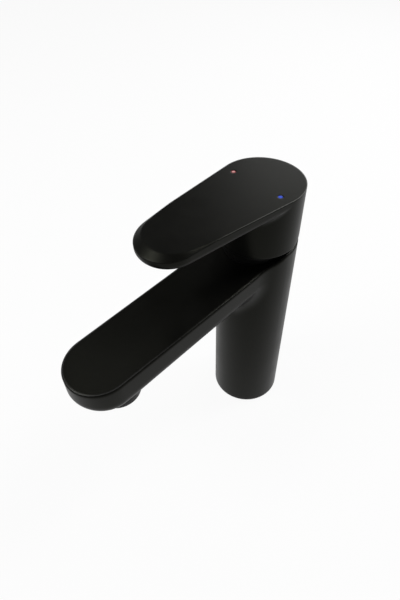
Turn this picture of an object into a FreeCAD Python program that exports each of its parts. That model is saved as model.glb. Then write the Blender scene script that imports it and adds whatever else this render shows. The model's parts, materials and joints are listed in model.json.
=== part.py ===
import FreeCAD, Part
import math
import os

from FreeCAD import Vector

os.makedirs("parts", exist_ok=True)

# Frame: millimetres, deck at z = 0, column on the Z axis, spout along -Y.
# Reach always means distance along -Y from the column axis.

# Clearances shared by every fit, and how far a cutter runs past the face it cuts.
running_fit = 0.05
ball_fit = 0.08
seal_gap = 0.1
thread_fit = 0.12
seat_gap = 0.15
overrun = 1.0

# Column. Its radius leads to the spout beside it and the handle above it.
column_r = 23.0
rim_z = 139.6
foot_edge_r = 0.6
rim_edge_r = 0.6

# Spout: a bar with a flat sloping top, a rounded underside and a half-round tip.
spout_root_inset = 4.1
spout_taper = 0.7
spout_tip_reach = 113.0
spout_drop = 5.4
spout_top_fall = 0.0661
spout_depth = 17.0
spout_under_fall = 0.096
spout_under_edge_r = 8.0
bow_lead = 4.0
bow_rise = 7.0
root_fillet_r = 20.0
root_start_reach = 5.0
spout_root_half = column_r - spout_root_inset
spout_tip_r = spout_root_half - spout_taper
spout_top_z = rim_z - spout_drop
spout_under_z = spout_top_z - spout_depth
bow_start_reach = spout_tip_reach - bow_lead
spout_end_reach = spout_tip_reach + spout_tip_r

# Saddle: the hollow between the column's level rim and the spout's sloping top.
saddle_start_reach = 1.5
saddle_run = 1.0
saddle_end_reach = column_r + saddle_run
stock_top_z = rim_z + column_r

# Chamber for a standard 35 mm cartridge, open at the top and threaded for a ring nut.
shell_r = 17.5
shell_clearance = 0.5
nut_step = 1.0
chamber_r = shell_r + shell_clearance
nut_thread_r = chamber_r + nut_step

# Cartridge heights, stacked downwards from the nut to the seat.
nut_sink = 1.3
nut_h = 6.0
web_h = 2.4
flange_h = 2.5
carrier_h = 5.2
moving_disc_h = 4.0
fixed_disc_h = 4.5
base_spigot_h = 3.0
base_flange_h = 2.0
nut_top_z = spout_top_z - nut_sink
shoulder_z = nut_top_z - nut_h
web_z = shoulder_z - web_h
flange_z = web_z - seat_gap - flange_h
carrier_top_z = flange_z - seat_gap
carrier_z = carrier_top_z - carrier_h
disc_face_z = carrier_z - moving_disc_h
base_top_z = disc_face_z - fixed_disc_h
base_step_z = base_top_z - base_spigot_h
seat_z = base_step_z - base_flange_h

# Cartridge radii: the discs follow the shell, and the neck follows the rotor.
shell_wall = 2.0
rotor_r = 10.5
neck_wall = 2.4
neck_proud = 3.1
nut_clearance = 0.4
disc_clearance = 0.7
disc_sweep = 3.8
carrier_rim = 1.0
carrier_flat = 1.5
flange_clearance = 0.9
shell_bore_r = shell_r - shell_wall
neck_r = rotor_r + seal_gap + neck_wall
neck_top_z = nut_top_z + neck_proud
nut_bore_r = neck_r + nut_clearance
fixed_disc_r = shell_bore_r - disc_clearance
moving_disc_r = fixed_disc_r - disc_sweep
carrier_r = moving_disc_r + carrier_rim
carrier_half = carrier_r - carrier_flat
flange_r = shell_bore_r - flange_clearance

# Foot recess, and the block above it that brings both waters up to the cartridge.
foot_ledge = 1.5
foot_recess_depth = 45.0
inlet_x = 7.0
inlet_y = 1.0
inlet_thread_r = 4.5
inlet_thread_depth = 15.0
passage_r = 3.2
stud_margin = 1.1
stud_thread_r = 3.4
stud_thread_depth = 18.0
foot_recess_r = chamber_r - foot_ledge
block_r = chamber_r - seat_gap
stud_y = foot_recess_r - stud_thread_r - stud_margin

# Foot gasket, flush with the deck.
gasket_inset = 1.8
gasket_width = 1.7
gasket_depth = 2.0
gasket_out_r = column_r - gasket_inset
gasket_in_r = gasket_out_r - gasket_width

# Pegs, seals and the shell's outlet window.
peg_r = 1.4
peg_len = 2.5
peg_inset = 5.0
port_seal_in_r = 3.6
port_seal_width = 1.4
port_seal_h = 1.4
ring_seal_r = 0.9
block_seal_drop = 8.0
rotor_seal_lift = 2.1
window_half = 9.0
pocket_half = 9.0
pocket_land = 0.6
peg_y = shell_r - peg_inset
port_seal_out_r = port_seal_in_r + port_seal_width
seal_track_r = chamber_r - 2 * ring_seal_r - 2 * seal_gap
shell_seal_z = web_z + ring_seal_r
block_seal_z = seat_z - block_seal_drop
rotor_seal_z = shoulder_z + rotor_seal_lift

# Rotor, pivot and spindle. The spindle leans forward by half the lift when closed.
lift_deg = 20.0
arm = 13.0
ball_r = 3.0
ball_floor = 0.5
rotor_rise = 8.0
pin_r = 2.0
pin_inset = 0.9
spindle_half_x = 4.5
spindle_half_y = 4.0
spindle_drop = 5.5
spindle_waist_r = 2.2
spindle_square = 8.0
square_start = 10.0
square_end = 32.0
slot_half_y = 6.0
lug_half_y = 6.0
lug_inset = 1.2
lug_drop = 4.2
lean_deg = lift_deg / 2
disc_offset = arm * math.sin(math.radians(lean_deg))
pivot_z = carrier_z + ball_floor + ball_r + arm
rotor_top_z = pivot_z + rotor_rise
pin_half = rotor_r - pin_inset
lug_out_x = flange_r - lug_inset

# Lever handle: a rounded slab on a hollow round base, with a bevelled crown.
handle_gap = 1.9
handle_h = 34.0
handle_wall = 3.0
handle_top_rise_deg = 1.375
slab_h = 6.2
slab_edge_r = 3.6
slab_fillet_r = 6.5
skirt_edge_r = 0.5
outer_tip_reach = 64.0
outer_tip_r = 16.4
crown_rear_margin = 4.9
crown_tip_setback = 3.5
crown_tip_inset = 1.2
crown_depth = 6.0
crown_spread = 9.6
crown_edge_r = 0.5
boss_r = 8.0
boss_start = 13.0
heel_clearance = 0.4
handle_r = column_r
handle_bottom_z = rim_z + handle_gap
handle_top_z = handle_bottom_z + handle_h
slab_under_z = handle_top_z - slab_h
crown_rear_r = handle_r + crown_rear_margin
crown_tip_reach = outer_tip_reach - crown_tip_setback
crown_tip_r = outer_tip_r - crown_tip_inset

# Dome that hides the cartridge under the handle.
dome_gap = 0.8
dome_wall = 1.4
dome_inset = 0.2
dome_mouth_room = 4.6
dome_spigot_h = 2.0
nut_lip = 3.0
nut_slot_half = 2.0
nut_slot_depth = 1.2
dome_r = handle_r - handle_wall - dome_gap
dome_skirt_r = nut_thread_r - dome_inset
dome_mouth_r = boss_r + dome_mouth_room
dome_spigot_r = nut_bore_r + nut_lip

# Grub screw and its plug at the back of the handle, and the two markers on top.
screw_r = 2.5
screw_len = 9.0
screw_up = 25.0
screw_lug_r = 5.0
hex_across = 2.5
hex_depth = 2.5
plug_r = 3.2
plug_depth = 3.2
marker_r = 1.25
marker_inset = 7.1
marker_reach = 4.6
marker_depth = 0.8
screw_skin = (handle_r + screw_up * math.sin(math.radians(lean_deg))) / math.cos(math.radians(lean_deg))
plug_start = screw_skin - plug_depth
plug_end = screw_skin + plug_r
marker_x = handle_r - marker_inset

# Outlet and waterway. The outlet is bored for an M24 aerator.
outlet_inset = 6.5
outlet_bore_r = 12.0
outlet_bore_h = 8.0
outlet_boss_wall = 1.6
outlet_boss_proud = 1.0
outlet_throat_r = 9.0
outlet_throat_h = 2.5
channel_side_wall = 4.7
channel_wall = 3.5
channel_bend_reach = 43.0
channel_end_inset = 3.0
mouth_drop = 1.0
mouth_head = 2.2
mouth_inset = 4.0
outlet_reach = spout_tip_reach - outlet_inset
outlet_boss_r = outlet_bore_r + outlet_boss_wall
outlet_face_z = spout_under_z - spout_under_fall * outlet_reach - outlet_boss_proud
outlet_bore_top_z = outlet_face_z + outlet_bore_h
channel_half = spout_tip_r - channel_side_wall
channel_end_r = channel_half - channel_end_inset
channel_end_low_z = outlet_bore_top_z + outlet_throat_h
mouth_low_z = disc_face_z - mouth_drop
mouth_high_z = carrier_top_z - mouth_head
mouth_reach = chamber_r - mouth_inset

# Aerator: a collar with two flats, a jet core, a strainer and a washer.
collar_inset = 1.0
collar_h = 7.0
collar_flat_depth = 0.8
collar_flat_h = 4.0
washer_h = 1.5
aerator_wall = 1.6
aerator_lip = 1.2
core_clearance = 0.2
core_lift = 1.6
core_wall = 1.4
jet_plate_h = 4.0
jet_r = 0.9
inner_jet_ring_r = 3.2
outer_jet_ring_r = 6.4
inner_jet_count = 6
outer_jet_count = 12
screen_h = 2.6
screen_rim_h = 0.8
screen_wall = 0.6
screen_cup_inset = 1.8
screen_top_inset = 3.2
collar_r = outlet_boss_r - collar_inset
collar_bottom_z = outlet_face_z - collar_h
aerator_bore_r = outlet_bore_r - aerator_wall
aerator_top_z = outlet_bore_top_z - washer_h
core_r = aerator_bore_r - core_clearance
core_bottom_z = collar_bottom_z + core_lift
core_top_z = aerator_top_z - seat_gap - screen_h

# Faces and edges are told apart to this distance.
near = 0.02


def cyl(r, z0, z1, x=0.0, y=0.0):
    return Part.makeCylinder(r, z1 - z0, Vector(x, y, z0))


def ring(r_out, r_in, z0, z1, x=0.0, y=0.0):
    return cyl(r_out, z0, z1, x, y).cut(cyl(r_in, z0 - overrun, z1 + overrun, x, y))


def block(x0, x1, y0, y1, z0, z1):
    return Part.makeBox(x1 - x0, y1 - y0, z1 - z0, Vector(x0, y0, z0))


def side_point(reach, z):
    return Vector(0, -reach, z)


def side_lines(points):
    closed = points + points[:1]
    return [Part.makeLine(a, b) for a, b in zip(closed, closed[1:])]


def side_prism(edges, half):
    """A face drawn in the side view at x = -half, pushed through to x = +half."""
    face = Part.Face(Part.Wire(edges))
    face.translate(Vector(-half, 0, 0))
    return face.extrude(Vector(2 * half, 0, 0))


def revolved(points):
    """Turn a closed outline of (radius, z) corners round the Z axis."""
    corners = [Vector(r, 0, z) for r, z in points]
    face = Part.Face(Part.makePolygon(corners + corners[:1]))
    return face.revolve(Vector(0, 0, 0), Vector(0, 0, 1), 360)


def torus(r, section_r, z):
    return Part.makeTorus(r, section_r, Vector(0, 0, z), Vector(0, 0, 1))


def mid_point(edge):
    return edge.valueAt((edge.FirstParameter + edge.LastParameter) / 2)


def tangent_arc(start, along, end):
    """An arc that leaves start in the direction along and finishes at end."""
    chord = end.sub(start)
    across = chord.sub(Vector(along).multiply(chord.dot(along))).normalize()
    radius = chord.dot(chord) / (2 * chord.dot(across))
    centre = start.add(Vector(across).multiply(radius))
    bisector = start.sub(centre).add(end.sub(centre)).normalize()
    middle = centre.add(bisector.multiply(radius))
    return Part.Arc(start, middle, end).toShape()


def rounded_bar_outline(rear_r, tip_reach, tip_r, z):
    """Two circles on the centre line joined by their outer tangents."""
    s = (rear_r - tip_r) / tip_reach
    c = math.sqrt(1 - s * s)
    rear_right = Vector(rear_r * c, -rear_r * s, z)
    rear_left = Vector(-rear_r * c, -rear_r * s, z)
    tip_right = Vector(tip_r * c, -tip_reach - tip_r * s, z)
    tip_left = Vector(-tip_r * c, -tip_reach - tip_r * s, z)
    rear = Part.Arc(rear_left, Vector(0, rear_r, z), rear_right).toShape()
    tip = Part.Arc(tip_right, Vector(0, -tip_reach - tip_r, z), tip_left).toShape()
    right = Part.makeLine(rear_right, tip_right)
    left = Part.makeLine(tip_left, rear_left)
    return Part.Wire([rear, right, tip, left])


def lean(shape):
    """Tip a piece drawn upright over the pivot into its closed position."""
    shape.rotate(Vector(0, 0, pivot_z), Vector(1, 0, 0), lean_deg)
    return shape


# Body: column and spout in one casting.

def spout_top(reach):
    return spout_top_z - spout_top_fall * reach


def spout_under(reach):
    return spout_under_z - spout_under_fall * reach


def spout_bar():
    """The spout as tall stock, with only its underside finished."""
    plan = rounded_bar_outline(spout_root_half, spout_tip_reach, spout_tip_r, 0)
    stock = Part.Face(plan).extrude(Vector(0, 0, stock_top_z))
    far = spout_end_reach + overrun
    along = Vector(0, -1, -spout_under_fall).normalize()
    bow_start = side_point(bow_start_reach, spout_under(bow_start_reach))
    bow_end = side_point(far, spout_under(spout_end_reach) + bow_rise)
    root_low = side_point(root_start_reach, spout_under(root_start_reach))
    root_high = side_point(root_start_reach, stock_top_z)
    far_high = side_point(far, stock_top_z)
    outline = [
        Part.makeLine(root_high, root_low),
        Part.makeLine(root_low, bow_start),
        tangent_arc(bow_start, along, bow_end),
        Part.makeLine(bow_end, far_high),
        Part.makeLine(far_high, root_high),
    ]
    return stock.common(side_prism(outline, column_r))


def bar_under_edges(bar):
    """The edges where the spout's walls meet its underside."""
    walls = []
    unders = []
    for face in bar.Faces:
        normal = face.normalAt(*face.Surface.parameter(face.CenterOfMass))
        if abs(normal.z) < near and face.BoundBox.YLength > near:
            walls += face.Edges
        if normal.z < -0.5:
            unders += face.Edges
    return [e for e in unders if any(e.isSame(wall) for wall in walls)]


def root_edges(shape):
    """The edges where the spout meets the column's wall."""
    found = []
    for edge in shape.Edges:
        mid = mid_point(edge)
        on_wall = abs(math.hypot(mid.x, mid.y) - column_r) < near
        if on_wall and mid.y < -near and near < mid.z < stock_top_z - near:
            found.append(edge)
    return found


def saddle_cutter():
    """Everything above the body's top: a level rim, a hollow saddle, then the sloping spout."""
    high = stock_top_z + overrun
    far = spout_end_reach + column_r
    back = -2 * column_r
    rim = side_point(saddle_start_reach, rim_z)
    foot = side_point(saddle_end_reach, spout_top(saddle_end_reach))
    uphill = Vector(0, 1, spout_top_fall).normalize()
    back_low = side_point(back, rim_z)
    back_high = side_point(back, high)
    far_high = side_point(far, high)
    far_low = side_point(far, spout_top(far))
    outline = [
        Part.makeLine(rim, back_low),
        Part.makeLine(back_low, back_high),
        Part.makeLine(back_high, far_high),
        Part.makeLine(far_high, far_low),
        Part.makeLine(far_low, foot),
        tangent_arc(foot, uphill, rim),
    ]
    return side_prism(outline, 2 * column_r)


def top_edges(shape):
    """The outer edge of the top, all the way round the rim and the spout."""
    found = []
    for edge in shape.Edges:
        mid = mid_point(edge)
        box = edge.BoundBox
        across = box.YLength < near and box.ZLength < near
        upright = box.XLength < near and box.YLength < near
        if mid.z > spout_top(-mid.y) - near and not across and not upright:
            found.append(edge)
    return found


def body_outside():
    bar = spout_bar()
    bar = bar.makeFillet(spout_under_edge_r, bar_under_edges(bar))
    shape = cyl(column_r, 0, stock_top_z).fuse(bar).removeSplitter()
    shape = shape.makeFillet(root_fillet_r, root_edges(shape))
    shape = shape.cut(saddle_cutter())
    shape = shape.makeFillet(rim_edge_r, top_edges(shape))
    return shape.makeFillet(foot_edge_r, [e for e in shape.Edges if e.BoundBox.ZMax < near])


def channel():
    """The flat waterway from the chamber's front wall to the outlet."""
    bend_low = spout_under(channel_bend_reach) + channel_wall
    bend_high = spout_top(channel_bend_reach) - channel_wall
    end_high = spout_top(outlet_reach) - channel_wall
    corners = [
        side_point(mouth_reach, mouth_low_z),
        side_point(channel_bend_reach, bend_low),
        side_point(outlet_reach, channel_end_low_z),
        side_point(outlet_reach, end_high),
        side_point(channel_bend_reach, bend_high),
        side_point(mouth_reach, mouth_high_z),
    ]
    flat = side_prism(side_lines(corners), channel_half)
    return flat.fuse(cyl(channel_end_r, channel_end_low_z, end_high, 0, -outlet_reach))


def body_casting():
    body = body_outside()
    body = body.fuse(cyl(outlet_boss_r, outlet_face_z, outlet_bore_top_z, 0, -outlet_reach))
    outlet_low = outlet_face_z - overrun
    cuts = [
        cyl(foot_recess_r, -overrun, foot_recess_depth + overrun),
        ring(gasket_out_r + seat_gap, gasket_in_r - seat_gap, -overrun, gasket_depth),
        cyl(chamber_r, foot_recess_depth, stock_top_z),
        cyl(nut_thread_r, shoulder_z, stock_top_z),
        channel(),
        cyl(outlet_bore_r, outlet_low, outlet_bore_top_z, 0, -outlet_reach),
        cyl(outlet_throat_r, outlet_low, channel_end_low_z + overrun, 0, -outlet_reach),
    ]
    for cutter in cuts:
        body = body.cut(cutter)
    return body


def foot_gasket():
    return ring(gasket_out_r, gasket_in_r, 0, gasket_depth)


# Inlet block: dropped in from above onto the ledge over the foot recess.

def ring_seal(z):
    return torus(seal_track_r + ring_seal_r + seal_gap, ring_seal_r, z)


def ring_seal_groove(z):
    half = ring_seal_r + seal_gap
    return ring(chamber_r + overrun, seal_track_r, z - half, z + half)


def inlet_block():
    body = cyl(block_r, foot_recess_depth, seat_z).cut(ring_seal_groove(block_seal_z))
    low = foot_recess_depth - overrun
    body = body.cut(cyl(stud_thread_r, low, foot_recess_depth + stud_thread_depth, 0, stud_y))
    for side in (-1, 1):
        x = side * inlet_x
        body = body.cut(cyl(inlet_thread_r, low, foot_recess_depth + inlet_thread_depth, x, inlet_y))
        body = body.cut(cyl(passage_r, low, seat_z + overrun, x, inlet_y))
        body = body.cut(cyl(peg_r + seat_gap, seat_z - peg_len - seat_gap, seat_z + overrun, 0, side * peg_y))
    return body


def chamber_seals():
    """Two like rings that keep the water in the chamber, below and above its outlet."""
    return Part.makeCompound([ring_seal(block_seal_z), ring_seal(shell_seal_z)])


# Cartridge: case, seals and ceramic discs.

def cartridge_base():
    base = cyl(shell_r - seat_gap, seat_z, base_step_z)
    base = base.fuse(cyl(shell_bore_r - seal_gap, seat_z, base_top_z))
    recess_r = port_seal_out_r + seal_gap
    for side in (-1, 1):
        x = side * inlet_x
        base = base.fuse(cyl(peg_r, seat_z - peg_len, base_step_z, 0, side * peg_y))
        base = base.cut(cyl(passage_r, seat_z - overrun, base_top_z + overrun, x, inlet_y))
        base = base.cut(cyl(recess_r, seat_z - overrun, seat_z + port_seal_h, x, inlet_y))
        base = base.cut(cyl(recess_r, base_top_z - port_seal_h, base_top_z + overrun, x, inlet_y))
    return base


def seal_pair(z):
    pair = []
    for side in (-1, 1):
        pair.append(ring(port_seal_out_r, port_seal_in_r, z, z + port_seal_h, side * inlet_x, inlet_y))
    return Part.makeCompound(pair)


def port_seals():
    return seal_pair(seat_z)


def disc_seals():
    return seal_pair(base_top_z - port_seal_h)


def cartridge_shell():
    shell = cyl(shell_r, base_step_z, shoulder_z).fuse(cyl(neck_r, base_step_z, neck_top_z))
    shell = shell.cut(cyl(shell_bore_r, base_step_z - overrun, web_z))
    shell = shell.cut(cyl(rotor_r + seal_gap, base_step_z - overrun, neck_top_z + overrun))
    shell = shell.cut(ring_seal_groove(shell_seal_z))
    window = block(-window_half, window_half, -chamber_r, 0, disc_face_z, mouth_high_z)
    return shell.cut(window)


def fixed_disc():
    disc = cyl(fixed_disc_r, base_top_z, disc_face_z)
    for side in (-1, 1):
        disc = disc.cut(cyl(passage_r, base_top_z - overrun, disc_face_z + overrun, side * inlet_x, inlet_y))
    return disc


def moving_disc():
    """The upper disc, closed: its mixing pocket waits behind the two ports."""
    disc = cyl(moving_disc_r, disc_face_z, carrier_z, 0, disc_offset)
    pocket_front = inlet_y + passage_r + pocket_land
    pocket_top = disc_face_z + moving_disc_h / 2
    pocket = block(-pocket_half, pocket_half, pocket_front, shell_r, disc_face_z - overrun, pocket_top)
    return disc.cut(pocket)


def disc_carrier():
    slide = cyl(carrier_r, carrier_z, carrier_top_z, 0, disc_offset)
    slide = slide.common(block(-carrier_half, carrier_half, -shell_r, shell_r, carrier_z, carrier_top_z))
    return slide.cut(cyl(ball_r + ball_fit, carrier_z - overrun, carrier_top_z + overrun, 0, disc_offset))


# Rotor and spindle: the rotor turns for temperature, the spindle tilts in it for flow.

def cross_pin(r, half):
    return Part.makeCylinder(r, 2 * half, Vector(-half, 0, pivot_z), Vector(1, 0, 0))


def rotor_lugs():
    """Two lugs below the flange that turn the disc carrier."""
    low = flange_z - lug_drop
    high = flange_z + flange_h
    gap_half = carrier_half + seat_gap
    beam = block(-lug_out_x, lug_out_x, -lug_half_y, lug_half_y, low, high)
    return beam.cut(block(-gap_half, gap_half, -flange_r, flange_r, low - overrun, flange_z))


def rotor():
    turret = cyl(flange_r, flange_z, flange_z + flange_h).fuse(cyl(rotor_r, flange_z, rotor_top_z))
    turret = turret.fuse(rotor_lugs())
    slot_half_x = spindle_half_x + seat_gap
    slot_low = flange_z - overrun
    slot_high = rotor_top_z + overrun
    turret = turret.cut(block(-slot_half_x, slot_half_x, -slot_half_y, slot_half_y, slot_low, slot_high))
    turret = turret.cut(cross_pin(pin_r + running_fit / 2, rotor_r))
    half = ring_seal_r + seal_gap
    groove_r = rotor_r - 2 * ring_seal_r
    return turret.cut(ring(rotor_r + overrun, groove_r, rotor_seal_z - half, rotor_seal_z + half))


def rotor_seal():
    section_r = ring_seal_r - running_fit / 2
    return torus(rotor_r - ring_seal_r + running_fit, section_r, rotor_seal_z)


def pivot_pin():
    return cross_pin(pin_r, pin_half)


def spindle():
    stem = Part.makeSphere(ball_r, Vector(0, 0, pivot_z - arm))
    low = pivot_z - spindle_drop
    stem = stem.fuse(cyl(spindle_waist_r, pivot_z - arm, low + overrun))
    half_x = spindle_half_x
    half_y = spindle_half_y
    stem = stem.fuse(block(-half_x, half_x, -half_y, half_y, low, pivot_z + square_start))
    half = spindle_square / 2
    stem = stem.fuse(block(-half, half, -half, half, pivot_z, pivot_z + square_end))
    stem = stem.cut(cross_pin(pin_r + running_fit, column_r))
    return lean(stem)


# Nut and dome over the cartridge.

def cartridge_nut():
    nut = ring(nut_thread_r - thread_fit, nut_bore_r, shoulder_z, nut_top_z)
    nut = nut.cut(cyl(dome_spigot_r + seal_gap, nut_top_z - dome_spigot_h, nut_top_z + overrun))
    half = nut_slot_half
    slot_low = nut_top_z - nut_slot_depth
    nut = nut.cut(block(-half, half, -column_r, column_r, slot_low, nut_top_z + overrun))
    return nut.cut(block(-column_r, column_r, -half, half, slot_low, nut_top_z + overrun))


def dome_cap():
    centre = Vector(0, 0, pivot_z)
    mouth_z = pivot_z + math.sqrt(dome_r ** 2 - dome_mouth_r ** 2)
    foot_in_r = dome_spigot_r - dome_wall
    foot_top = nut_top_z + dome_wall
    spigot_z = nut_top_z - dome_spigot_h + seat_gap
    dome = Part.makeSphere(dome_r, centre).common(cyl(dome_skirt_r, nut_top_z, mouth_z))
    hollow = Part.makeSphere(dome_r - dome_wall, centre)
    hollow = hollow.common(cyl(dome_skirt_r - dome_wall, nut_top_z - overrun, mouth_z + overrun))
    dome = dome.cut(hollow).cut(cyl(dome_mouth_r, nut_top_z - overrun, mouth_z + overrun))
    dome = dome.fuse(ring(dome_skirt_r, foot_in_r, nut_top_z, foot_top))
    return dome.fuse(ring(dome_spigot_r, foot_in_r, spigot_z, foot_top))


# Handle and what is fixed to it.

def tip_up(shape):
    """Lay a piece drawn on z = 0 onto the handle's slightly rising top."""
    shape.rotate(Vector(0, 0, 0), Vector(1, 0, 0), -handle_top_rise_deg)
    shape.translate(Vector(0, 0, handle_top_z))
    return shape


def crown():
    """A tall solid whose top carries the handle's crescent bevel."""
    top = rounded_bar_outline(crown_rear_r, crown_tip_reach, crown_tip_r, 0)
    wide_rear = crown_rear_r + crown_spread
    wide_tip = crown_tip_r + crown_spread
    low = rounded_bar_outline(wide_rear, crown_tip_reach, wide_tip, -crown_depth)
    foot = rounded_bar_outline(wide_rear, crown_tip_reach, wide_tip, -2 * handle_h)
    return tip_up(Part.makeLoft([top, low, foot], True, True))


def slab():
    plan = rounded_bar_outline(handle_r, outer_tip_reach, outer_tip_r, slab_under_z)
    stock = Part.Face(plan).extrude(Vector(0, 0, 2 * slab_h))
    under = [e for e in stock.Edges if e.BoundBox.ZMax < slab_under_z + near]
    return stock.makeFillet(slab_edge_r, under)


def handle_outside():
    """The lever: rounded slab on a round base, blended underneath and crowned on top."""
    round_base = cyl(handle_r, handle_bottom_z, handle_top_z)
    lever = slab().fuse(round_base).removeSplitter()
    throat = side_point(handle_r, slab_under_z)
    throat_edge = min(lever.Edges, key=lambda edge: mid_point(edge).distanceToPoint(throat))
    lever = lever.makeFillet(slab_fillet_r, [throat_edge])
    skirt = [e for e in lever.Edges if e.BoundBox.ZMax < handle_bottom_z + near]
    lever = lever.makeFillet(skirt_edge_r, skirt)
    lever = lever.common(crown())
    top = max(lever.Faces, key=lambda face: face.CenterOfMass.z)
    return lever.makeFillet(crown_edge_r, top.Edges)


def heel_cutter():
    """The wedge that frees the back of the skirt when the lever is lifted."""
    lift = math.radians(lift_deg)
    floor = rim_z + heel_clearance - pivot_z
    far = 2 * column_r
    low = rim_z - overrun
    z_near = pivot_z + floor / math.cos(lift)
    z_far = pivot_z + (floor + far * math.sin(lift)) / math.cos(lift)
    corners = [Vector(0, 0, low), Vector(0, 0, z_near), Vector(0, far, z_far), Vector(0, far, low)]
    return side_prism(side_lines(corners), 2 * column_r)


def screw_rod(r, start, end):
    """A cylinder on the grub screw's axis, measured back from the spindle's centre."""
    rod = Part.makeCylinder(r, end - start, Vector(0, start, pivot_z + screw_up), Vector(0, 1, 0))
    return lean(rod)


def marker_disc(side, r):
    return tip_up(cyl(r, -marker_depth, 0, side * marker_x, -marker_reach))


def spindle_boss():
    """The socket's wall inside the handle, with the lug that the grub screw runs in."""
    inside = cyl(handle_r - handle_wall / 2, handle_bottom_z, slab_under_z + overrun)
    boss = lean(cyl(boss_r, pivot_z + boss_start, handle_top_z))
    return boss.fuse(screw_rod(screw_lug_r, 0, plug_end)).common(inside)


def handle():
    lever = handle_outside()
    lever = lever.cut(cyl(handle_r - handle_wall, handle_bottom_z - overrun, slab_under_z))
    lever = lever.fuse(spindle_boss())
    half = spindle_square / 2 + running_fit
    lever = lever.cut(lean(block(-half, half, -half, half, pivot_z, pivot_z + square_end + seat_gap)))
    lever = lever.cut(screw_rod(screw_r, 0, plug_start + overrun))
    lever = lever.cut(screw_rod(plug_r, plug_start, plug_end))
    lever = lever.cut(heel_cutter())
    for side in (-1, 1):
        lever = lever.cut(marker_disc(side, marker_r + running_fit))
    return lever


def grub_screw():
    start = spindle_square / 2
    end = start + screw_len
    screw = screw_rod(screw_r - thread_fit, start, end)
    corner_r = hex_across / math.sqrt(3)
    turns = [math.radians(60 * i) for i in range(7)]
    corners = [Vector(corner_r * math.cos(turn), 0, corner_r * math.sin(turn)) for turn in turns]
    key = Part.Face(Part.makePolygon(corners)).extrude(Vector(0, hex_depth + overrun, 0))
    key.translate(Vector(0, end - hex_depth, pivot_z + screw_up))
    return screw.cut(lean(key))


def screw_plug():
    plug = screw_rod(plug_r - seal_gap, plug_start, plug_end)
    return plug.common(cyl(handle_r, handle_bottom_z, handle_top_z))


def hot_marker():
    return marker_disc(-1, marker_r)


def cold_marker():
    return marker_disc(1, marker_r)


# Aerator in the spout's outlet.

def aerator_housing():
    y = -outlet_reach
    flat_top = collar_bottom_z + collar_flat_h
    half = collar_r - collar_flat_depth
    grip = cyl(collar_r, collar_bottom_z, flat_top, 0, y)
    grip = grip.common(block(-half, half, y - collar_r, y + collar_r, collar_bottom_z, flat_top))
    housing = grip.fuse(cyl(collar_r, flat_top, outlet_face_z, 0, y))
    housing = housing.fuse(cyl(outlet_bore_r - thread_fit, flat_top, aerator_top_z, 0, y))
    housing = housing.cut(cyl(aerator_bore_r, core_bottom_z, aerator_top_z + overrun, 0, y))
    return housing.cut(cyl(aerator_bore_r - aerator_lip, collar_bottom_z - overrun, aerator_top_z, 0, y))


def aerator_core():
    y = -outlet_reach
    low = core_bottom_z - overrun
    core = cyl(core_r, core_bottom_z, core_top_z, 0, y)
    core = core.cut(cyl(core_r - core_wall, low, core_top_z - jet_plate_h, 0, y))
    for count, ring_r in ((inner_jet_count, inner_jet_ring_r), (outer_jet_count, outer_jet_ring_r)):
        for i in range(count):
            turn = 2 * math.pi * i / count
            x = ring_r * math.cos(turn)
            core = core.cut(cyl(jet_r, low, core_top_z + overrun, x, y + ring_r * math.sin(turn)))
    return core


def aerator_screen():
    """A shallow strainer cup that stands on the core."""
    cup_r = core_r - screen_cup_inset
    top_r = core_r - screen_top_inset
    outline = [
        (core_r, 0),
        (core_r, screen_rim_h),
        (cup_r, screen_rim_h),
        (top_r, screen_h),
        (0, screen_h),
        (0, screen_h - screen_wall),
        (top_r - screen_wall, screen_h - screen_wall),
        (cup_r - screen_wall, 0),
    ]
    screen = revolved(outline)
    screen.translate(Vector(0, -outlet_reach, core_top_z))
    return screen


def aerator_washer():
    washer_r = outlet_bore_r - seal_gap
    return ring(washer_r, outlet_throat_r, aerator_top_z, outlet_bore_top_z, 0, -outlet_reach)


pieces = [
    body_casting, foot_gasket, inlet_block, chamber_seals,
    cartridge_base, port_seals, disc_seals, cartridge_shell, fixed_disc, moving_disc, disc_carrier,
    rotor, rotor_seal, pivot_pin, spindle, cartridge_nut, dome_cap,
    handle, grub_screw, screw_plug, hot_marker, cold_marker,
    aerator_housing, aerator_core, aerator_screen, aerator_washer,
]

for piece in pieces:
    shape = piece()
    if len(shape.Solids) == 1:
        shape = shape.Solids[0]
    shape.exportStep("parts/" + piece.__name__ + ".step")
    print(piece.__name__, shape.isValid(), len(shape.Solids), round(shape.Volume / 1000, 2), "cm3")
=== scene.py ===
# %% [markdown]
# # A matte black basin mixer
#
# The mixer arrives as exact solids: a cast body, a lever handle and the working parts between them.
# This lesson gives every piece its finish, turns one ring anew, adds the threads that only show from
# below, and sets up the camera and the light of a plain studio.
#
# Everything is in metres. The deck is at z = 0, the column stands on the Z axis, and the spout points
# along -Y.

# %% Load the solids
import json
import math
import bpy
from mathutils import Matrix, Vector


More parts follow.
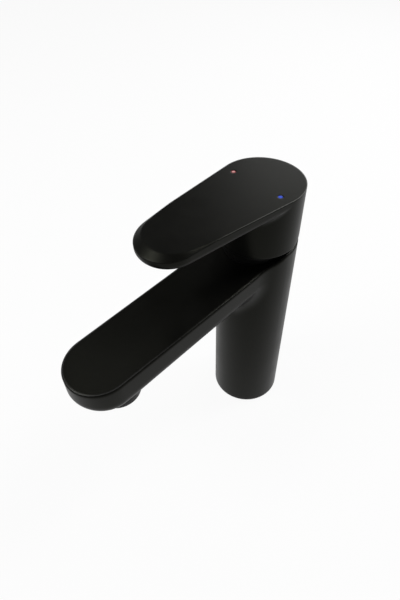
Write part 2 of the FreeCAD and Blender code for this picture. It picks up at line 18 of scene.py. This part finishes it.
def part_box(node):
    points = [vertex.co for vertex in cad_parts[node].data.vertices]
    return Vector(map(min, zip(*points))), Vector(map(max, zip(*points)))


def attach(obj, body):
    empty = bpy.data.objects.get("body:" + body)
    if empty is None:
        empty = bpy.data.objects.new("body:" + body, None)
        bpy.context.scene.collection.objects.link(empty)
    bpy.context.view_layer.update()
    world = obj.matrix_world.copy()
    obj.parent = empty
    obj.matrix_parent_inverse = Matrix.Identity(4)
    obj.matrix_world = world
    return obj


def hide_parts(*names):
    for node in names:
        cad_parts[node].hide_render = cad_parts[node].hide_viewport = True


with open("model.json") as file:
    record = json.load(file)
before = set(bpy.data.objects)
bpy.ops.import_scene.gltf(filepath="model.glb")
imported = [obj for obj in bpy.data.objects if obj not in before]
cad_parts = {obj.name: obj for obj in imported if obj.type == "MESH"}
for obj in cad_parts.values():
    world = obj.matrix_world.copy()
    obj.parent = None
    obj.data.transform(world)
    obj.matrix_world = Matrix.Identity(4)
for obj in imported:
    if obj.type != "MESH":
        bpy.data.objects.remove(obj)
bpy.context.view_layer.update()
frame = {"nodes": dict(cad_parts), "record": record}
nodes = frame["nodes"]
scene = bpy.context.scene

# %% [markdown]
# ## The camera
#
# The picture was taken from above and to the right, quite close, with the slightly wide lens of a phone.
# A camera can be aimed with a Track To constraint, but here three axes are built one by one, because the
# picture also leans a little to one side. The columns of a camera's matrix are its right, its up and the
# direction behind it. The picture is taller than wide, so the lens is reckoned over its height.

# %% Camera measures
picture_height_px = 600
focal_px = 487.6
sensor_mm = 36.0
lens_mm = focal_px * sensor_mm / picture_height_px
near_clip = 0.01
camera_turn = math.radians(47.226)
camera_rise = math.radians(47.353)
camera_lean = math.radians(-1.514)
camera_distance = 0.31584
aim_side = -0.03353
aim_height = 0.08623
print("lens", round(lens_mm, 2), "mm,", camera_distance, "m away")

# %% Camera


def photo_camera():
    behind = Vector((math.sin(camera_turn) * math.cos(camera_rise),
                     -math.cos(camera_turn) * math.cos(camera_rise), math.sin(camera_rise)))
    level = Vector((math.cos(camera_turn), math.sin(camera_turn), 0))
    upright = behind.cross(level)
    right = level * math.cos(camera_lean) + upright * math.sin(camera_lean)
    up = upright * math.cos(camera_lean) - level * math.sin(camera_lean)
    place = level * aim_side + Vector((0, 0, aim_height)) + behind * camera_distance
    lens = bpy.data.cameras.new("photo_camera")
    lens.sensor_width = sensor_mm
    lens.lens = lens_mm
    lens.clip_start = near_clip
    camera = bpy.data.objects.new("photo_camera", lens)
    scene.collection.objects.link(camera)
    axes = Matrix((right, up, behind)).transposed().to_4x4()
    camera.matrix_world = Matrix.Translation(place) @ axes
    return camera


scene.camera = photo_camera()
scene.view_settings.view_transform = "Standard"
print("camera at", [round(value, 3) for value in scene.camera.location])

# %% [markdown]
# ## Tools for finishes
#
# Every finish starts from one Principled shader. The first helpers make a new finish, add a node, join two
# sockets and fetch the place of a point in object space. A texture could also lie on a UV map, but object
# space needs no unwrapping. It is in metres, so a scale of 1000 gives a pattern about a millimetre across.

# %% Nodes


def new_finish(name):
    material = bpy.data.materials.new(name)
    material.use_nodes = True
    return material, material.node_tree.nodes["Principled BSDF"]


def add(material, kind, **settings):
    node = material.node_tree.nodes.new(kind)
    for key, value in settings.items():
        setattr(node, key, value)
    return node


def join(material, source, target):
    material.node_tree.links.new(source, target)


def object_place(material):
    return add(material, "ShaderNodeTexCoord").outputs["Object"]


print("helpers for nodes: new_finish, add, join, object_place")

# %% [markdown]
# Most finishes share a few ingredients: a soft noise, a band that turns a factor into a narrow range of
# values, a ramp between two colours, a bit of arithmetic and a bump. Each is one node or two. With a helper
# for each, the finishes stay short enough to read as recipes.

# %% Patterns


def noise(material, scale, detail=2.0, stretch=(1, 1, 1)):
    """Soft noise; stretch is how much faster it changes along each axis."""
    spread = add(material, "ShaderNodeMapping")
    spread.inputs["Scale"].default_value = stretch
    join(material, object_place(material), spread.inputs["Vector"])
    node = add(material, "ShaderNodeTexNoise")
    node.inputs["Scale"].default_value = scale
    node.inputs["Detail"].default_value = detail
    join(material, spread.outputs["Vector"], node.inputs["Vector"])
    return node.outputs["Fac"]


def band(material, factor, low, high, start=0.3, end=0.7):
    """Map a factor between start and end onto the values low to high."""
    node = add(material, "ShaderNodeMapRange")
    node.inputs["From Min"].default_value = start
    node.inputs["From Max"].default_value = end
    node.inputs["To Min"].default_value = low
    node.inputs["To Max"].default_value = high
    join(material, factor, node.inputs["Value"])
    return node.outputs["Result"]


def tones(material, factor, dark, light, start=0.3, end=0.7):
    """Run a factor through a ramp between two colours."""
    node = add(material, "ShaderNodeValToRGB")
    node.color_ramp.elements[0].position = start
    node.color_ramp.elements[0].color = (*dark, 1)
    node.color_ramp.elements[1].position = end
    node.color_ramp.elements[1].color = (*light, 1)
    join(material, factor, node.inputs["Fac"])
    return node.outputs["Color"]


print("helpers for patterns: noise, band, tones")

# %% Arithmetic and bump


def reckon(material, operation, first, second=None):
    """One step of arithmetic on a factor; second is a number or another factor."""
    node = add(material, "ShaderNodeMath", operation=operation)
    join(material, first, node.inputs[0])
    if isinstance(second, float):
        node.inputs[1].default_value = second
    elif second:
        join(material, second, node.inputs[1])
    return node.outputs[0]


def bump(material, shader, height, strength, depth, base=None):
    """Let a height tilt the shading; base is the normal it starts from."""
    node = add(material, "ShaderNodeBump")
    node.inputs["Strength"].default_value = strength
    node.inputs["Distance"].default_value = depth
    if base:
        join(material, base, node.inputs["Normal"])
    join(material, height, node.inputs["Height"])
    join(material, node.outputs["Normal"], shader.inputs["Normal"])


print("helpers for finishes: reckon, bump")

# %% [markdown]
# ## Edges that shine
#
# In the picture a bright line runs along the upper edges of the black coat. A Bevel modifier would round the
# edges with thousands of faces, so a Bevel node rounds the shading alone. The angle between its normal and
# the true one finds the edges. The shine is kept to the faces that look up, where the picture has it, and
# off the rims of the two pits that hold the dots.

# %% Edge shine
bend_cosine = (0.9, 0.99)
upward_z = (0.6, 0.9)
pit_reach = (0.003, 0.004)


def box_middle(name):
    low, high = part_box(name)
    return (low + high) / 2


def away_from(material, centre, near, far):
    """0 closer to centre than near, 1 farther than far."""
    reach = add(material, "ShaderNodeVectorMath", operation="DISTANCE")
    reach.inputs[1].default_value = centre
    join(material, object_place(material), reach.inputs[0])
    return band(material, reach.outputs["Value"], 0.0, 1.0, near, far)


def edge_shine(material, rounded, pits):
    """1 on the upper side of an edge, 0 on flat faces and round the pits of the named pieces."""
    true_normal = add(material, "ShaderNodeNewGeometry").outputs["Normal"]
    bend = add(material, "ShaderNodeVectorMath", operation="DOT_PRODUCT")
    join(material, rounded, bend.inputs[0])
    join(material, true_normal, bend.inputs[1])
    parts = add(material, "ShaderNodeSeparateXYZ")
    join(material, true_normal, parts.inputs["Vector"])
    shine = band(material, bend.outputs["Value"], 1.0, 0.0, *bend_cosine)
    holds = [band(material, parts.outputs["Z"], 0.0, 1.0, *upward_z)]
    holds += [away_from(material, box_middle(pit), *pit_reach) for pit in pits]
    for hold in holds:
        shine = reckon(material, "MULTIPLY", shine, hold)
    return shine


print("edges shine from a bend of", round(math.degrees(math.acos(bend_cosine[1]))), "degrees")

# %% [markdown]
# ## Matte black coat
#
# The body and the handle share one finish: a black powder coat, baked on. It mirrors little when seen
# straight on and more at a slant, so the specular level is low. Close up it has a fine orange peel, and its
# gloss drifts a little from place to place. Both come from noise: a fine one for the bump and a broad, weak
# one for the colour and the roughness. The shine of the edges goes to the weight of a clear coat, because
# an export keeps a pattern there, and loses one on the specular level.

# %% Black coat
coat_dark = (0.0034, 0.0034, 0.0031)
coat_light = (0.0048, 0.0048, 0.0044)
coat_tint = (0.97, 1.0, 0.78, 1)
peel_scale = 2400
peel_depth = 0.00005
bevel_samples = 16


def black_coat(name, edge_r, pits=()):
    """Edges are rounded over edge_r, and mirror more, except round the pits of the named pieces."""
    material, shader = new_finish(name)
    drift = noise(material, scale=45, detail=3.0)
    join(material, tones(material, drift, coat_dark, coat_light), shader.inputs["Base Color"])
    join(material, band(material, drift, low=0.32, high=0.38), shader.inputs["Roughness"])
    shader.inputs["Specular IOR Level"].default_value = 0.075
    shader.inputs["Specular Tint"].default_value = coat_tint
    edge = add(material, "ShaderNodeBevel", samples=bevel_samples)
    edge.inputs["Radius"].default_value = edge_r
    rounded = edge.outputs["Normal"]
    join(material, edge_shine(material, rounded, pits), shader.inputs["Coat Weight"])
    shader.inputs["Coat Roughness"].default_value = 0.34
    peel = noise(material, peel_scale)
    bump(material, shader, peel, strength=0.25, depth=peel_depth, base=rounded)
    return material


print("orange peel about", round(1000 / peel_scale, 2), "mm across")

# %% Coat the body and the handle
body_edge_r = 0.0028
handle_edge_r = 0.0012


def dress(material, *names):
    """Give CAD pieces one finish."""
    for name in names:
        nodes[name].data.materials.clear()
        nodes[name].data.materials.append(material)
    print(material.name, "on", ", ".join(names))


dress(black_coat("black_coat_body", body_edge_r), "body_casting")
dress(black_coat("black_coat_handle", handle_edge_r, ("hot_marker", "cold_marker")), "handle")

# %% [markdown]
# ## Satin black turned pieces
#
# The dome under the handle and the ring of the aerator are turned on a lathe and then blackened. The tool
# leaves fine rings round the axis. They could be modelled, but a sine of the distance from the axis, used
# as a bump, gives them at any size without a single face. The axis of each piece is the middle of its box.

# %% Satin black
groove_pitch = 0.00025
groove_depth = 0.00001
satin_dark = (0.0035, 0.0035, 0.0033)
satin_light = (0.0065, 0.0065, 0.006)


def turning_rings(material, centre):
    """A wave that runs outwards from an upright axis through centre."""
    flat = add(material, "ShaderNodeMapping")
    flat.inputs["Location"].default_value = (-centre.x, -centre.y, 0)
    flat.inputs["Scale"].default_value = (1, 1, 0)
    join(material, object_place(material), flat.inputs["Vector"])
    reach = add(material, "ShaderNodeVectorMath", operation="LENGTH")
    join(material, flat.outputs["Vector"], reach.inputs[0])
    phase = reckon(material, "MULTIPLY", reach.outputs["Value"], 2 * math.pi / groove_pitch)
    return reckon(material, "SINE", phase)


def satin_black(name):
    material, shader = new_finish("satin_black_" + name)
    smear = noise(material, scale=160, detail=3.0)
    join(material, tones(material, smear, satin_dark, satin_light), shader.inputs["Base Color"])
    join(material, band(material, smear, low=0.26, high=0.36), shader.inputs["Roughness"])
    shader.inputs["Specular IOR Level"].default_value = 0.05
    grooves = turning_rings(material, box_middle(name))
    bump(material, shader, grooves, strength=0.15, depth=groove_depth)
    return material


for name in ("dome_cap", "aerator_housing"):
    dress(satin_black(name), name)

# %% [markdown]
# ## The ring under the spout
#
# The solid of the aerator's ring has two flats for a spanner and ends a little high. The ring in the
# picture is round where it shows and hangs about a millimetre lower. The solid could be stretched, but its
# flats would stay. So the ring is turned anew, from half of its section, and stands for the solid in the
# picture. The sizes come from the boxes of the ring and of the core inside it.

# %% Section of the ring
ring_drop = 0.0011
ring_height = 0.007
ring_edge_r = 0.0005
ring_edge_steps = 3
ring_lip = 0.001
ring_wall = 0.0022
thread_inset = 0.0007


def ring_section():
    """Points of half the section, as radius and height."""
    low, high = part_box("aerator_housing")
    core_low, core_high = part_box("aerator_core")
    outer = (high.x - low.x) / 2
    lip = (core_high.x - core_low.x) / 2 - ring_lip
    bore = outer - ring_wall
    bottom = low.z - ring_drop
    face = low.z + ring_height
    section = [(lip, bottom), (outer - ring_edge_r, bottom)]
    for step in range(1, ring_edge_steps + 1):
        turn = math.radians(90 * step / ring_edge_steps)
        section.append((outer - ring_edge_r * (1 - math.sin(turn)),
                        bottom + ring_edge_r * (1 - math.cos(turn))))
    section += [(outer, face), (outer - thread_inset, face), (outer - thread_inset, high.z),
                (bore, high.z), (bore, core_low.z), (lip, core_low.z)]
    return section


half_section = ring_section()
print("ring section of", len(half_section), "points")

# %% [markdown]
# A Screw modifier could spin the section. Plain points and faces do it in a few lines too, and leave nothing
# to evaluate later: one copy of the section for each step round the axis, with a face between each pair of
# neighbours.

# %% Turn the ring
ring_steps = 96
smooth_angle = math.radians(35)


def turned_ring(section, centre):
    count = len(section)
    points = []
    faces = []
    for step in range(ring_steps):
        turn = 2 * math.pi * step / ring_steps
        points += [(centre.x + r * math.cos(turn), centre.y + r * math.sin(turn), z) for r, z in section]
        here, there = step * count, (step + 1) % ring_steps * count
        for k in range(count):
            after = (k + 1) % count
            faces.append((here + k, there + k, there + after, here + after))
    mesh = bpy.data.meshes.new("aerator_ring")
    mesh.from_pydata(points, [], faces)
    mesh.shade_smooth()
    mesh.set_sharp_from_angle(angle=smooth_angle)
    ring = bpy.data.objects.new("aerator_ring", mesh)
    scene.collection.objects.link(ring)
    return ring


ring = turned_ring(half_section, box_middle("aerator_housing"))
ring.data.materials.append(bpy.data.materials["satin_black_aerator_housing"])
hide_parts("aerator_housing")
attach(ring, "body")
print(ring.name, len(ring.data.polygons), "faces")

# %% [markdown]
# ## Rubber
#
# The gasket under the foot and the rings inside are black rubber. New rubber is never quite even: a pale
# bloom lies on it in patches. A broad noise mixes two blacks for the bloom, and a fine one roughens it.

# %% Rubber
rubber_dark = (0.022, 0.022, 0.022)
rubber_bloom = (0.048, 0.048, 0.047)


def rubber():
    material, shader = new_finish("seal_rubber")
    bloom = noise(material, scale=220, detail=5.0)
    join(material, tones(material, bloom, rubber_dark, rubber_bloom, start=0.35, end=0.75),
         shader.inputs["Base Color"])
    join(material, band(material, bloom, low=0.66, high=0.82), shader.inputs["Roughness"])
    shader.inputs["Specular IOR Level"].default_value = 0.3
    bump(material, shader, noise(material, scale=3200), strength=0.2, depth=0.00003)
    return material


dress(rubber(), "foot_gasket", "port_seals", "disc_seals", "chamber_seals", "rotor_seal", "aerator_washer")

# %% [markdown]
# ## Moulded plastics
#
# The cartridge's case, its slides, the aerator's inside and the plug over the screw are all moulded, in
# four colours. One function makes them: the colour drifts slightly, as the melt does, and a fine grain
# stands for the spark-eroded mould. The plug has to vanish in the black coat round it, so it mirrors less.

# %% Plastics
usual_specular = 0.5
plug_specular = 0.1


def moulded(name, dark, light, roughness, specular=usual_specular):
    material, shader = new_finish(name)
    flow = noise(material, scale=130, detail=3.0)
    join(material, tones(material, flow, dark, light), shader.inputs["Base Color"])
    join(material, band(material, flow, low=roughness - 0.04, high=roughness + 0.05),
         shader.inputs["Roughness"])
    shader.inputs["Specular IOR Level"].default_value = specular
    bump(material, shader, noise(material, scale=4200), strength=0.15, depth=0.00002)
    return material


dress(moulded("moulded_case", (0.70, 0.71, 0.72), (0.80, 0.81, 0.82), roughness=0.45),
      "cartridge_shell", "cartridge_base")
dress(moulded("moulded_slide", (0.79, 0.80, 0.82), (0.88, 0.89, 0.91), roughness=0.38),
      "rotor", "disc_carrier")
dress(moulded("moulded_aerator", (0.62, 0.64, 0.66), (0.72, 0.74, 0.76), roughness=0.42),
      "aerator_core", "aerator_screen")
dress(moulded("moulded_plug", (0.005, 0.005, 0.005), (0.008, 0.008, 0.008), roughness=0.45,
              specular=plug_specular), "screw_plug")

# %% [markdown]
# ## Lapped ceramic
#
# Two discs of alumina slide on each other and mix the water. Lapping makes them nearly as smooth as glass,
# but the grains still show as a faint speckle. Voronoi cells are the natural pattern for grains: the
# colour of each cell nudges the white a little, and the distance from its middle the roughness.

# %% Ceramic
grain_scale = 5200
alumina_dark = (0.86, 0.85, 0.82)
alumina_light = (0.93, 0.92, 0.90)


def lapped_ceramic():
    material, shader = new_finish("lapped_ceramic")
    grains = add(material, "ShaderNodeTexVoronoi")
    grains.inputs["Scale"].default_value = grain_scale
    join(material, object_place(material), grains.inputs["Vector"])
    join(material, tones(material, grains.outputs["Color"], alumina_dark, alumina_light, start=0.0, end=1.0),
         shader.inputs["Base Color"])
    join(material, band(material, grains.outputs["Distance"], low=0.12, high=0.2, start=0.0, end=1.0),
         shader.inputs["Roughness"])
    return material


dress(lapped_ceramic(), "fixed_disc", "moving_disc")

# %% [markdown]
# ## Brass and steel
#
# The ring nut and the inlet block are turned from bare brass, which tarnishes in patches. The spindle, its
# pin and the screw are drawn steel, with hair lines along their length. Turned metal takes the same rings
# as the dome. Drawn metal takes a noise that changes slowly along the piece and fast across it.

# %% Brass
brass_dark = (0.52, 0.36, 0.14)
brass_light = (0.72, 0.55, 0.26)


def turned_brass():
    material, shader = new_finish("turned_brass")
    tarnish = noise(material, scale=260, detail=4.0)
    join(material, tones(material, tarnish, brass_dark, brass_light), shader.inputs["Base Color"])
    join(material, band(material, tarnish, low=0.24, high=0.38), shader.inputs["Roughness"])
    shader.inputs["Metallic"].default_value = 1.0
    grooves = turning_rings(material, box_middle("cartridge_nut"))
    bump(material, shader, grooves, strength=0.2, depth=groove_depth)
    return material


dress(turned_brass(), "cartridge_nut", "inlet_block")

# %% Steel
steel_dark = (0.50, 0.50, 0.52)
steel_light = (0.64, 0.64, 0.66)
hair_depth = 0.00001
across = 15


def drawn_steel(name, stretch):
    material, shader = new_finish(name)
    lines = noise(material, scale=300, detail=4.0, stretch=stretch)
    join(material, tones(material, lines, steel_dark, steel_light), shader.inputs["Base Color"])
    join(material, band(material, lines, low=0.22, high=0.36), shader.inputs["Roughness"])
    shader.inputs["Metallic"].default_value = 1.0
    bump(material, shader, lines, strength=0.1, depth=hair_depth)
    return material


dress(drawn_steel("steel_along_x", (1, across, across)), "pivot_pin")
dress(drawn_steel("steel_along_y", (across, 1, across)), "grub_screw")
dress(drawn_steel("steel_along_z", (across, across, 1)), "spindle")

# %% [markdown]
# ## The red and the blue dot
#
# Drops of enamel fill two shallow pits on the handle, red for hot and blue for cold. Each dot is coloured
# paler in the middle than at the rim: the pale middle is a painted highlight, laid over the enamel's own
# colour. A spherical gradient, moved and scaled to the box of each dot, runs from the middle to the rim and
# drives the colour.

# %% Enamel dots


def enamel(name, rim, highlit_heart):
    low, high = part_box(name)
    radius = (high.x - low.x) / 2
    top_middle = Vector((low.x + high.x, low.y + high.y, 2 * high.z)) / 2
    material, shader = new_finish("enamel_" + name)
    fit = add(material, "ShaderNodeMapping")
    fit.inputs["Location"].default_value = -top_middle / radius
    fit.inputs["Scale"].default_value = (1 / radius, 1 / radius, 1 / radius)
    join(material, object_place(material), fit.inputs["Vector"])
    highlight_gradient = add(material, "ShaderNodeTexGradient", gradient_type="SPHERICAL")
    join(material, fit.outputs["Vector"], highlight_gradient.inputs["Vector"])
    # depth runs from 0 at the rim to 1 in the middle of the dot, where the painted highlight lies; it also
    # makes the middle a little glossier.
    depth = highlight_gradient.outputs["Fac"]
    # The ramp runs from the enamel's own deeper colour at the rim to a paler, painted highlight in the
    # middle.
    join(material, tones(material, depth, rim, highlit_heart, start=0.25, end=0.6), shader.inputs["Base Color"])
    join(material, band(material, depth, low=0.3, high=0.18, start=0.0, end=1.0), shader.inputs["Roughness"])
    shader.inputs["Specular IOR Level"].default_value = 0.15
    return material


dress(enamel("hot_marker", rim=(0.16, 0.008, 0.008), highlit_heart=(0.60, 0.29, 0.28)), "hot_marker")
dress(enamel("cold_marker", rim=(0.005, 0.03, 0.30), highlit_heart=(0.006, 0.06, 0.57)), "cold_marker")

# %% [markdown]
# ## Threads under the foot
#
# Two hoses and a fixing stud screw into the block inside the foot. The solids have plain bores there, so
# the threads are added as ridges. A thread follows a rule, so Geometry Nodes make it: a spiral of constant
# radius carries a small four-sided profile, half of it sunk in the wall. The tree's named inputs come
# first.

# %% Thread inputs
thread_sockets = {"Radius": "NodeSocketFloat", "Turns": "NodeSocketFloat", "Length": "NodeSocketFloat",
                  "Tooth": "NodeSocketFloat", "Place": "NodeSocketVector", "Finish": "NodeSocketMaterial"}
screw_thread = bpy.data.node_groups.new("screw_thread", "GeometryNodeTree")
thread_ports = {}
for label, kind in thread_sockets.items():
    port = screw_thread.interface.new_socket(label, in_out="INPUT", socket_type=kind)
    thread_ports[label] = port.identifier
screw_thread.interface.new_socket("Geometry", in_out="OUTPUT", socket_type="NodeSocketGeometry")
print("thread inputs:", ", ".join(thread_ports))

# %% [markdown]
# Then the nodes: the spiral is swept with the profile, moved to its bore, made real and given its finish.
# The spiral's normals are set upright, so that the profile doesn't twist on its way.

# %% Thread nodes
spiral_steps = 40
profile_sides = 4


def fill_thread(tree):
    given = tree.nodes.new("NodeGroupInput").outputs
    path = tree.nodes.new("GeometryNodeCurveSpiral")
    path.inputs["Resolution"].default_value = spiral_steps
    upright = tree.nodes.new("GeometryNodeSetCurveNormal")
    upright.mode = "Z_UP"
    profile = tree.nodes.new("GeometryNodeCurvePrimitiveCircle")
    profile.inputs["Resolution"].default_value = profile_sides
    sweep = tree.nodes.new("GeometryNodeCurveToMesh")
    sweep.inputs["Fill Caps"].default_value = True
    move = tree.nodes.new("GeometryNodeTransform")
    real = tree.nodes.new("GeometryNodeRealizeInstances")
    finish = tree.nodes.new("GeometryNodeSetMaterial")
    result = tree.nodes.new("NodeGroupOutput")
    for source, target in ((given["Radius"], path.inputs["Start Radius"]),
                           (given["Radius"], path.inputs["End Radius"]),
                           (given["Turns"], path.inputs["Rotations"]),
                           (given["Length"], path.inputs["Height"]),
                           (given["Tooth"], profile.inputs["Radius"]),
                           (given["Place"], move.inputs["Translation"]),
                           (given["Finish"], finish.inputs["Material"]),
                           (path.outputs["Curve"], upright.inputs["Curve"]),
                           (upright.outputs["Curve"], sweep.inputs["Curve"]),
                           (profile.outputs["Curve"], sweep.inputs["Profile Curve"]),
                           (sweep.outputs["Mesh"], move.inputs["Geometry"]),
                           (move.outputs["Geometry"], real.inputs["Geometry"]),
                           (real.outputs["Geometry"], finish.inputs["Geometry"]),
                           (finish.outputs["Geometry"], result.inputs["Geometry"])):
        tree.links.new(source, target)


fill_thread(screw_thread)
print("thread tree:", len(screw_thread.nodes), "nodes,", len(screw_thread.links), "links")

# %% [markdown]
# The tree is put on an empty mesh as a modifier. Its inputs are set by their identifiers before the first
# evaluation, and the result is kept as a plain mesh, so that nothing is left to evaluate later. The places
# and bore radii come from the part's own mounts. An M10 hose end has a pitch of 1 mm and an M8 stud one of
# 1.25 mm. The ridges are brass, like the block they sit in, and ride on the body.

# %% Add the threads
pitches = {"hot_inlet": 0.001, "cold_inlet": 0.001, "stud_hole": 0.00125}
tooth_share = 0.22
spare_turns = 2
mm_per_m = 1000


def plain_mesh(piece):
    """Replace a piece's modifiers by the mesh that they make."""
    graph = bpy.context.evaluated_depsgraph_get()
    made = bpy.data.meshes.new_from_object(piece.evaluated_get(graph))
    piece.modifiers.clear()
    piece.data = made


def add_thread(mount, brass):
    name = mount["name"] + "_thread"
    pitch = pitches[mount["name"]]
    length = mount["dims"]["length_mm"] / mm_per_m
    turns = math.floor(length / pitch) - spare_turns
    x, y, z = mount["pos_m"]
    piece = bpy.data.objects.new(name, bpy.data.meshes.new(name))
    scene.collection.objects.link(piece)
    modifier = piece.modifiers.new("thread", "NODES")
    modifier.node_group = screw_thread
    values = {"Radius": mount["dims"]["r_mm"] / mm_per_m, "Turns": float(turns), "Length": turns * pitch,
              "Tooth": tooth_share * pitch, "Place": (x, y, z - length / 2 + pitch), "Finish": brass}
    for label, value in values.items():
        modifier[thread_ports[label]] = value
    plain_mesh(piece)
    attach(piece, "body")
    print(piece.name, turns, "turns,", len(piece.data.polygons), "faces")


for mount in frame["record"]["mounts"]:
    if mount["kind"] == "threaded_hole":
        add_thread(mount, bpy.data.materials["turned_brass"])

# %% [markdown]
# ## Floor
#
# The object stands on a plain pale floor. More light could make it white, but would bleach the object too.
# So the floor shows as white to the camera, in reflections and through glass, by way of Light Path, and
# keeps a share of ordinary diffuse shading, in which the shadow stays.

# %% Floor finish
floor_grey = (0.8, 0.8, 0.8, 1)
floor_glow = 0.93


def floor_finish():
    material, shader = new_finish("pale_floor")
    shader.inputs["Base Color"].default_value = floor_grey
    shader.inputs["Roughness"].default_value = 1.0
    shader.inputs["Specular IOR Level"].default_value = 0.0
    glow = add(material, "ShaderNodeEmission")
    path = add(material, "ShaderNodeLightPath").outputs
    seen = reckon(material, "MAXIMUM", path["Is Camera Ray"], path["Is Glossy Ray"])
    seen = reckon(material, "MAXIMUM", seen, path["Is Transmission Ray"])
    mix = add(material, "ShaderNodeMixShader")
    join(material, reckon(material, "MULTIPLY", seen, floor_glow), mix.inputs["Fac"])
    join(material, shader.outputs["BSDF"], mix.inputs[1])
    join(material, glow.outputs["Emission"], mix.inputs[2])
    join(material, mix.outputs["Shader"], material.node_tree.nodes["Material Output"].inputs["Surface"])
    return material


print("floor glows by", floor_glow, "and keeps", round(1 - floor_glow, 2), "of its shading")

# %% Floor
floor_half = 4.0


def pale_floor():
    mesh = bpy.data.meshes.new("floor")
    corners = [(-floor_half, -floor_half, 0), (floor_half, -floor_half, 0),
               (floor_half, floor_half, 0), (-floor_half, floor_half, 0)]
    mesh.from_pydata(corners, [], [(0, 1, 2, 3)])
    mesh.materials.append(floor_finish())
    floor = bpy.data.objects.new("floor", mesh)
    scene.collection.objects.link(floor)


pale_floor()
print("floor", 2 * floor_half, "m square")

# %% [markdown]
# ## Sky
#
# The horizon is white all round, like a paper sweep, and the sky above it is dark, so the flat tops stay
# black. A picture of a studio could do this too, but a ramp over the height of the view's direction needs
# no file.

# %% Sky
sky_steps = ((0.0, 1.0), (0.16, 1.0), (0.36, 0.05), (0.9, 0.02))


def studio_sky():
    world = bpy.data.worlds.new("studio_sky")
    world.use_nodes = True
    scene.world = world
    tree = world.node_tree
    place = tree.nodes.new("ShaderNodeTexCoord")
    parts = tree.nodes.new("ShaderNodeSeparateXYZ")
    ramp = tree.nodes.new("ShaderNodeValToRGB")
    stops = ramp.color_ramp.elements
    while len(stops) < len(sky_steps):
        stops.new(1.0)
    for stop, (height, level) in zip(stops, sky_steps):
        stop.position = height
        stop.color = (level, level, level, 1)
    tree.links.new(place.outputs["Generated"], parts.inputs["Vector"])
    tree.links.new(parts.outputs["Z"], ramp.inputs["Fac"])
    tree.links.new(ramp.outputs["Color"], tree.nodes["Background"].inputs["Color"])


studio_sky()
print("sky from", sky_steps[0][1], "at the horizon to", sky_steps[-1][1], "overhead")

# %% [markdown]
# ## Lamps
#
# The light comes from soft boxes, given by the direction they hang in as seen from the mixer. Two large
# ones behind light the top of the handle. A small, high one draws the bright lines along the edges. One in
# front shows the bevel on the tip of the handle, and one at the left the end of the spout. Area lamps have
# an energy, but what shows on a dark coat is their brightness, so each is given by its brightness and size.

# %% Lamps
light_middle = Vector((0, -0.05, 0.1))
light_distance = 0.9


def softbox(name, turn, rise, size, level):
    """A square lamp of brightness level; turn counts from +X towards +Y and rise from flat, in degrees."""
    turn, rise = math.radians(turn), math.radians(rise)
    away = Vector((math.cos(turn) * math.cos(rise), math.sin(turn) * math.cos(rise), math.sin(rise)))
    lamp = bpy.data.lights.new(name, "AREA")
    lamp.shape = "SQUARE"
    lamp.size = size
    lamp.energy = level * math.pi * size ** 2
    box = bpy.data.objects.new(name, lamp)
    box.location = light_middle + away * light_distance
    box.rotation_euler = (-away).to_track_quat("-Z", "Y").to_euler()
    scene.collection.objects.link(box)
    print(name, round(lamp.energy, 2), "W")


softbox("back_box", turn=80, rise=40, size=0.5, level=4.2)
softbox("back_left_box", turn=112, rise=25, size=0.5, level=2.0)
softbox("edge_box", turn=65, rise=58, size=0.16, level=26.0)
softbox("front_box", turn=-120, rise=50, size=0.3, level=14.0)
softbox("left_box", turn=180, rise=60, size=0.22, level=2.8)
